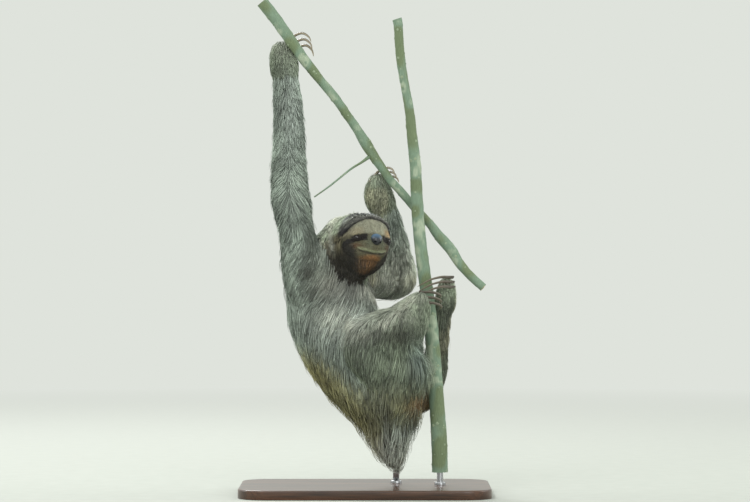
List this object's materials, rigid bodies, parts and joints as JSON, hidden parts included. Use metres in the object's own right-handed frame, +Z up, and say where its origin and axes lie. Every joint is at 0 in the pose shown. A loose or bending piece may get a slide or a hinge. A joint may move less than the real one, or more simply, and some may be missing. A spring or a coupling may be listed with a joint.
{
  "type": "three-toed sloth",
  "caption": "Life-size still model of a three-toed sloth hanging upright, gripping a sloping branch and an upright stem, held by rods on a flat base.",
  "frame": {"origin": "middle of the underside of the stand's base", "axes": "+Z up, +X the way the sloth's belly faces, -Y its right side and the side its face is turned towards"},
  "size_m": [0.4, 0.26, 0.7917],
  "materials": {
    "coat": "long shaggy grey-brown hair with a green tinge",
    "face_coat": "short dense hair, dark eye stripes, pale brow band, orange-brown chin",
    "claw": "worn horn with a dull shine",
    "eye": "wet dark brown eyeball",
    "nose_skin": "moist black pebbled skin",
    "bark": "smooth grey-green bark with lichen, sawn ends",
    "stand_wood": "dark stained and satin lacquered",
    "stand_steel": "brushed"
  },
  "bodies": {
    "root": {"head": "face_coat", "neck": "coat", "trunk": "coat", "tail": "coat", "right_upper_arm": "coat", "right_forearm": "coat", "right_hand": "coat", "right_thigh": "coat", "right_shin": "coat", "right_foot": "coat", "left_upper_arm": "coat", "left_forearm": "coat", "left_hand": "coat", "left_thigh": "coat", "left_shin": "coat", "left_foot": "coat", "right_hand_claw_1": "claw", "right_hand_claw_2": "claw", "right_hand_claw_3": "claw", "left_hand_claw_1": "claw", "left_hand_claw_2": "claw", "left_hand_claw_3": "claw", "right_foot_claw_1": "claw", "right_foot_claw_2": "claw", "right_foot_claw_3": "claw", "left_foot_claw_1": "claw", "left_foot_claw_2": "claw", "left_foot_claw_3": "claw", "right_eye": "eye", "left_eye": "eye", "nose": "nose_skin", "perch_stem": "bark", "perch_branch": "bark", "perch_twig": "bark", "stand_base": "stand_wood", "stand_rod_stem": "stand_steel", "stand_rod_body": "stand_steel"}
  },
  "joints": []
}
